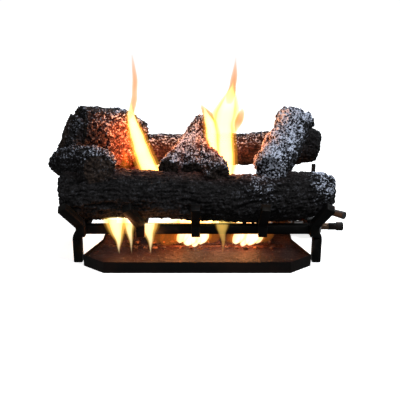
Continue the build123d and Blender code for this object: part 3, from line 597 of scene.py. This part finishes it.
def front_log_ash_and_shade(places, normals):
    """Pale on the right-hand end and in one patch, dark elsewhere, and darker underneath as painted shade."""
    x = places[:, 0]
    # Painted shade: the ash fades on faces that turn down.
    up = smoothstep(normals[:, 2], -0.5, 0.7)
    right = smoothstep(x, 0.22, 0.275)
    patch = np.exp(-((x - 0.135) / 0.035) ** 2)
    left = 0.02 * smoothstep(x, -0.25, -0.10)
    return (left + 0.34 * patch + 0.72 * right) * (0.10 + 0.90 * up)


def rear_log_ash_and_shade(places, normals):
    """Ash on the middle, darker towards both ends, and painted shade that darkens all but its top."""
    middle = 1 - smoothstep(np.abs(places[:, 0] - 0.03), 0.16, 0.26)
    return (0.03 + 0.45 * middle) * smoothstep(normals[:, 2], -0.2, 0.9)


def left_fork_ash_and_shade(places, normals):
    """Sparsely speckled, least on its left flank and underneath, where it is painted dark as shade."""
    return 0.05 + 0.22 * smoothstep(normals[:, 2], -0.2, 0.8) + 0.20 * smoothstep(places[:, 0], -0.25, -0.19)


def centre_twig_ash_and_shade(places, normals):
    """Grey on its upper side, with painted shade darkening its underside and its low parts where the legs
    meet the front log.
    """
    height = smoothstep(places[:, 2], 0.185, 0.225)
    return (0.12 + 0.50 * smoothstep(normals[:, 2], -0.2, 0.6)) * (0.3 + 0.7 * height)


def right_branch_ash_and_shade(places, normals):
    """Pale all over and on the front of its foot, with painted shade darkening its underside."""
    upper = smoothstep(normals[:, 2] - 0.45 * normals[:, 0], -0.5, 0.5)
    foot = smoothstep(-places[:, 1], -0.01, 0.07) * smoothstep(-normals[:, 1] - normals[:, 0], -0.2, 0.7)
    return 0.20 + 0.62 * np.maximum(upper, foot)


def make_logs():
    """The five logs, on the bodies that carry them."""
    front = [(((-0.292, -0.095, 0.137), (-0.122, -0.095, 0.1455), (0.081, -0.095, 0.1345),
               (0.296, -0.095, 0.151)), 0.047)]
    rear = [(((-0.303, 0.148, 0.180), (0.004, 0.148, 0.184), (0.303, 0.148, 0.190)), 0.037)]
    left = [
        (((-0.272, 0.025, 0.261), (-0.167, 0.081, 0.238), (-0.134, 0.097, 0.226)), 0.050),
        (((-0.319, 0.008, 0.188), (-0.214, -0.092, 0.206), (-0.204, -0.128, 0.206)), 0.034),
        (((-0.312, 0.002, 0.184), (-0.253, 0.028, 0.273)), 0.038),
        (((-0.228, 0.030, 0.214), (-0.180, 0.058, 0.194), (-0.142, 0.084, 0.190)), 0.036),
    ]
    centre = [
        (((0.008, 0.126, 0.272), (0.000, 0.098, 0.230), (-0.004, 0.070, 0.215)), 0.030),
        (((-0.006, 0.084, 0.217), (-0.062, -0.088, 0.196)), 0.025),
        (((-0.002, 0.084, 0.217), (0.046, -0.112, 0.188)), 0.025),
        (((-0.004, 0.070, 0.215), (-0.009, -0.068, 0.181)), 0.029),
    ]
    right = [
        (((0.231, 0.126, 0.287), (0.222, 0.090, 0.244), (0.182, -0.020, 0.213),
          (0.155, -0.104, 0.199)), 0.036),
        (((0.228, 0.100, 0.250), (0.270, 0.108, 0.269)), 0.016),
    ]
    make_log("front_log", ROOT, front, 1.0, 0.0036, 0.0016, 0.0012, front_log_ash_and_shade, sawn=0.3)
    make_log("rear_log", ROOT, rear, 2.0, 0.0022, 0.0018, 0.0016, rear_log_ash_and_shade, sawn=0.5)
    make_log("left_fork_log", "left_fork", left, 3.0, 0.0018, 0.0026, 0.0024, left_fork_ash_and_shade, (0.0050, 14.0))
    make_log("centre_twig_log", "centre_twig", centre, 4.0, 0.0016, 0.0024, 0.0024, centre_twig_ash_and_shade,
             (0.0052, 20.0), 0.7)
    make_log("right_branch_log", "right_branch", right, 5.0, 0.0016, 0.0026, 0.0026, right_branch_ash_and_shade,
             (0.0062, 20.0), 0.15)


# ---------------------------------------------------------------- sand and embers
def make_sand():
    """The pan's sand: an uneven granular surface, heaped a little over the burner pipes."""
    piece = from_cad("sand_bed", SAND_VOXEL)
    piece.name = "sand_surface"
    mesh = piece.data
    places = points_of(mesh)
    top = smoothstep(places[:, 2], 0.0165, 0.0188)  # 1 on the upper face, 0 inside the pan
    swell = 0.0022 * sample(noise.noise, places * 24.0) + 0.0012 * sample(noise.noise, places * 75.0)
    grain = 0.0007 * sample(noise.noise, places * 330.0)
    places[:, 2] += top * (swell + grain + 0.0006)
    move_points(mesh, places)
    mesh.shade_smooth()
    mesh.materials.append(materials["sand"])
    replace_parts(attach(piece, ROOT), "sand_bed")


def make_embers():
    """Crumbled glowing lumps lying on the sand where the CAD chips are."""
    piece = from_cad("ember_chips", EMBER_VOXEL)
    piece.name = "ember_lumps"
    mesh = piece.data
    places = points_of(mesh)
    normals = normals_of(mesh)
    rough = sample(noise.noise, places * 150.0) + 0.6 * sample(noise.noise, places * 380.0)
    move_points(mesh, places + normals * (0.0012 * rough)[:, None])
    mesh.shade_smooth()
    mesh.materials.append(materials["ember"])
    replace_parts(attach(piece, ROOT), "ember_chips")


# ---------------------------------------------------------------- fire
def paint_flame(name, tint, density, glow, strength):
    """Glowing gas: it adds light and lets less blue through, with soft edges where it is thin."""
    material = bpy.data.materials.new(name)
    material.use_nodes = True
    tree = material.node_tree
    tree.nodes.remove(tree.nodes["Principled BSDF"])
    absorb = tree.nodes.new("ShaderNodeVolumeAbsorption")
    absorb.inputs["Color"].default_value = (*tint, 1.0)
    absorb.inputs["Density"].default_value = density
    emit = tree.nodes.new("ShaderNodeEmission")
    emit.inputs["Color"].default_value = (*glow, 1.0)
    emit.inputs["Strength"].default_value = strength
    both = tree.nodes.new("ShaderNodeAddShader")
    tree.links.new(absorb.outputs[0], both.inputs[0])
    tree.links.new(emit.outputs[0], both.inputs[1])
    tree.links.new(both.outputs[0], tree.nodes["Material Output"].inputs["Volume"])
    return material


def flame_tongue(name, stations, depth, material, shrink=1.0, seed=0.0, blunt=False):
    """A closed tongue of fire through (x, y, z, half width) stations, pointed unless its top is blunt."""
    stations = np.array(stations)
    count, around = 34, 16
    spread = np.linspace(0, 1, len(stations))
    steps = np.linspace(0, 1, count)
    line = np.stack([np.interp(steps, spread, stations[:, i]) for i in range(4)], axis=1)
    for _ in range(4):
        line[1:-1] = (line[:-2] + 2 * line[1:-1] + line[2:]) / 4
    mesh_builder = bmesh.new()
    rings = []
    for index, (x, y, z, half) in enumerate(line):
        share = index / (count - 1)
        taper = math.sin(math.pi * (0.02 + (0.48 if blunt else 0.97) * share)) ** 0.35
        width = max(half * taper * shrink, 0.0003)
        sway = 0.10 * half * noise.noise(Vector((seed, z * 30.0, 0.5)))
        ring = []
        for step in range(around):
            angle = 2 * math.pi * step / around
            ripple = 1 + 0.18 * noise.noise(Vector((seed + math.cos(angle), z * 45.0, math.sin(angle))))
            ring.append(mesh_builder.verts.new((
                x + sway + width * ripple * math.cos(angle),
                y + depth * width * ripple * math.sin(angle),
                z,
            )))
        rings.append(ring)
    for low, high in zip(rings, rings[1:]):
        for step in range(around):
            after = (step + 1) % around
            mesh_builder.faces.new((low[step], low[after], high[after], high[step]))
    mesh_builder.faces.new(list(reversed(rings[0])))
    mesh_builder.faces.new(rings[-1])
    mesh = bpy.data.meshes.new(name)
    mesh_builder.to_mesh(mesh)
    mesh_builder.free()
    mesh.shade_smooth()
    mesh.materials.append(material)
    flame = bpy.data.objects.new(name, mesh)
    scene.collection.objects.link(flame)
    flame.visible_shadow = False
    flame.visible_diffuse = False


def make_fire():
    """Flames between the logs and along the front burner, and the lamps that stand for their light."""
    outer = paint_flame("flame_outer", (1.0, 0.60, 0.10), 70.0, (1.0, 0.50, 0.07), 20.0)
    middle = paint_flame("flame_middle", (1.0, 0.80, 0.25), 60.0, (1.0, 0.76, 0.22), 75.0)
    core = paint_flame("flame_core", (1.0, 0.90, 0.50), 20.0, (1.0, 0.95, 0.72), 260.0)
    wisp = paint_flame("flame_wisp", (0.88, 0.50, 0.22), 290.0, (1.0, 0.56, 0.20), 30.0)
    faint = paint_flame("flame_faint", (1.0, 0.55, 0.15), 60.0, (1.0, 0.34, 0.05), 11.0)
    dull = paint_flame("flame_dull", (0.55, 0.10, 0.03), 130.0, (1.0, 0.22, 0.03), 3.0)
    tongues = {
        "left_flame": ((-0.102, -0.01, 0.108, 0.036), (-0.104, -0.01, 0.160, 0.034),
                       (-0.117, -0.01, 0.200, 0.027), (-0.130, -0.01, 0.232, 0.023),
                       (-0.140, -0.01, 0.272, 0.019), (-0.148, -0.01, 0.305, 0.013),
                       (-0.143, -0.01, 0.330, 0.002)),
        "right_flame": ((0.064, -0.01, 0.130, 0.026), (0.064, -0.01, 0.160, 0.029),
                        (0.064, -0.01, 0.215, 0.028), (0.056, -0.01, 0.260, 0.026),
                        (0.062, -0.01, 0.300, 0.030), (0.068, -0.01, 0.325, 0.025),
                        (0.074, -0.01, 0.350, 0.014), (0.079, -0.01, 0.375, 0.002)),
        "right_lick": ((0.044, -0.02, 0.200, 0.012), (0.034, -0.02, 0.245, 0.016),
                       (0.027, -0.02, 0.285, 0.018), (0.014, -0.02, 0.320, 0.004)),
    }
    for seed, (name, stations) in enumerate(tongues.items()):
        flame_tongue(name + "_outer", stations, 0.55, outer, 1.10, seed)
        flame_tongue(name + "_middle", stations, 0.5, middle, 0.84, seed)
        flame_tongue(name + "_core", stations, 0.45, core, 0.64, seed)

    wisps = {
        "left_wisp": ((-0.150, -0.01, 0.290, 0.009), (-0.141, -0.01, 0.318, 0.0085),
                      (-0.137, -0.01, 0.345, 0.0065), (-0.135, -0.01, 0.380, 0.0070),
                      (-0.140, -0.01, 0.430, 0.0030)),
        "right_wisp": ((0.070, -0.01, 0.325, 0.014), (0.076, -0.01, 0.360, 0.009),
                       (0.081, -0.01, 0.390, 0.006), (0.083, -0.01, 0.425, 0.0015)),
        "right_tip": ((0.086, -0.01, 0.262, 0.006), (0.092, -0.01, 0.285, 0.011),
                      (0.098, -0.01, 0.305, 0.008), (0.099, -0.01, 0.322, 0.001)),
        "twig_tip": ((0.034, -0.015, 0.285, 0.010), (0.022, -0.015, 0.305, 0.012),
                     (0.012, -0.015, 0.318, 0.006), (0.008, -0.015, 0.328, 0.001)),
    }
    for seed, (name, stations) in enumerate(wisps.items()):
        flame_tongue(name, stations, 0.5, wisp, 1.0, 20 + seed)

    # Tongues that spring from the sand, lick up in front of the rail and spread under the log.
    rail_tongues = ((-0.168, 0.024, 0.104), (-0.141, 0.013, 0.096), (-0.100, 0.020, 0.092),
                    (0.055, 0.012, 0.090))
    for seed, (x, half, top) in enumerate(rail_tongues):
        stations = ((x, -0.134, 0.020, 0.001), (x, -0.142, 0.036, 0.20 * half),
                    (x + 0.001, -0.148, 0.055, 0.42 * half), (x - 0.002, -0.149, 0.074, 0.8 * half),
                    (x - 0.003, -0.144, top - 0.008, 1.15 * half), (x - 0.003, -0.138, top, 1.25 * half))
        flame_tongue(f"tongue_{seed}_outer", stations, 0.35, outer, 1.05, 30 + seed, True)
        flame_tongue(f"tongue_{seed}_middle", stations, 0.35, middle, 0.85, 30 + seed, True)
        if seed < 3:
            flame_tongue(f"tongue_{seed}_core", stations, 0.3, core, 0.55, 30 + seed, True)

    # Low fans on the ports of the front burner: x, base height, half width, top and whether it is bright.
    fans = (
        (-0.088, 0.026, 0.014, 0.070, False), (-0.064, 0.022, 0.022, 0.074, False),
        (-0.044, 0.026, 0.016, 0.078, False), (-0.034, 0.029, 0.018, 0.082, True),
        (-0.017, 0.022, 0.021, 0.084, True), (-0.004, 0.018, 0.013, 0.078, True),
        (0.011, 0.026, 0.019, 0.082, True), (0.034, 0.028, 0.017, 0.074, False),
        (0.078, 0.028, 0.016, 0.078, False), (0.090, 0.026, 0.019, 0.084, True),
        (0.105, 0.020, 0.014, 0.078, True), (0.120, 0.023, 0.021, 0.082, True),
        (0.136, 0.027, 0.013, 0.076, True), (0.152, 0.030, 0.016, 0.070, False),
    )
    for seed, (x, base, half, top, bright) in enumerate(fans):
        stations = ((x - 0.004, -0.090, base, 0.55 * half), (x - 0.002, -0.091, base + 0.005, 1.0 * half),
                    (x + 0.002, -0.092, base + 0.016, 1.15 * half), (x + 0.005, -0.092, 0.060, 0.9 * half),
                    (x + 0.009, -0.090, top, 1.2 * half))
        if bright:
            flame_tongue(f"fan_{seed}_outer", stations, 0.5, outer, 1.05, 40 + seed, True)
            flame_tongue(f"fan_{seed}_core", stations, 0.45, core, 0.7, 40 + seed, True)
        else:
            flame_tongue(f"fan_{seed}_faint", stations, 0.5, faint, 1.0, 40 + seed, True)

    # Thin sheets of flame that run along the slit between the rail and the log.
    for seed, (x, half) in enumerate(((-0.066, 0.042), (-0.014, 0.026), (0.044, 0.046))):
        stations = ((x, -0.112, 0.082, 0.90 * half), (x, -0.112, 0.085, half),
                    (x, -0.112, 0.088, half), (x, -0.112, 0.092, 0.85 * half))
        flame_tongue(f"sheet_{seed}", stations, 0.2, middle, 1.0, 60 + seed)

    # A small flame in the hollow of the forked log, and the dull red gas behind it.
    hollow = ((-0.166, 0.020, 0.165, 0.008), (-0.168, 0.016, 0.185, 0.012),
              (-0.166, 0.012, 0.205, 0.007), (-0.168, 0.010, 0.225, 0.001))
    flame_tongue("hollow_flame", hollow, 0.5, faint, 1.6, 70)
    flame_tongue("hollow_glow", hollow, 0.5, outer, 0.7, 71)
    backdrop = ((-0.150, 0.030, 0.110, 0.048), (-0.152, 0.030, 0.150, 0.054),
                (-0.154, 0.030, 0.175, 0.050), (-0.156, 0.030, 0.195, 0.020))
    flame_tongue("hollow_dull", backdrop, 0.35, dull, 1.0, 72)

    # The light that the flames give: each lamp's place and power.
    lamps = (
        ((-0.120, -0.010, 0.215), 2.4), ((-0.138, 0.0, 0.280), 0.9), ((0.060, -0.010, 0.215), 2.2),
        ((0.058, 0.0, 0.290), 0.8), ((-0.160, -0.146, 0.062), 0.30), ((-0.100, -0.146, 0.062), 0.30),
        ((-0.045, -0.095, 0.054), 0.45), ((0.050, -0.095, 0.054), 0.35), ((0.105, -0.095, 0.054), 0.45),
    )
    warm, lamp_radius = (1.0, 0.42, 0.17), 0.018
    for number, (place, power) in enumerate(lamps):
        make_lamp(f"fire_lamp_{number}", "POINT", place, None, power, warm, lamp_radius)


# ---------------------------------------------------------------- the whole scene
materials = make_materials()
make_camera()
make_studio()
refine_cad_nodes(materials, {"front_log", "rear_log", "left_fork_log", "centre_twig_log",
                             "right_branch_log", "sand_bed", "ember_chips"})
make_logs()
make_sand()
make_embers()
make_fire()
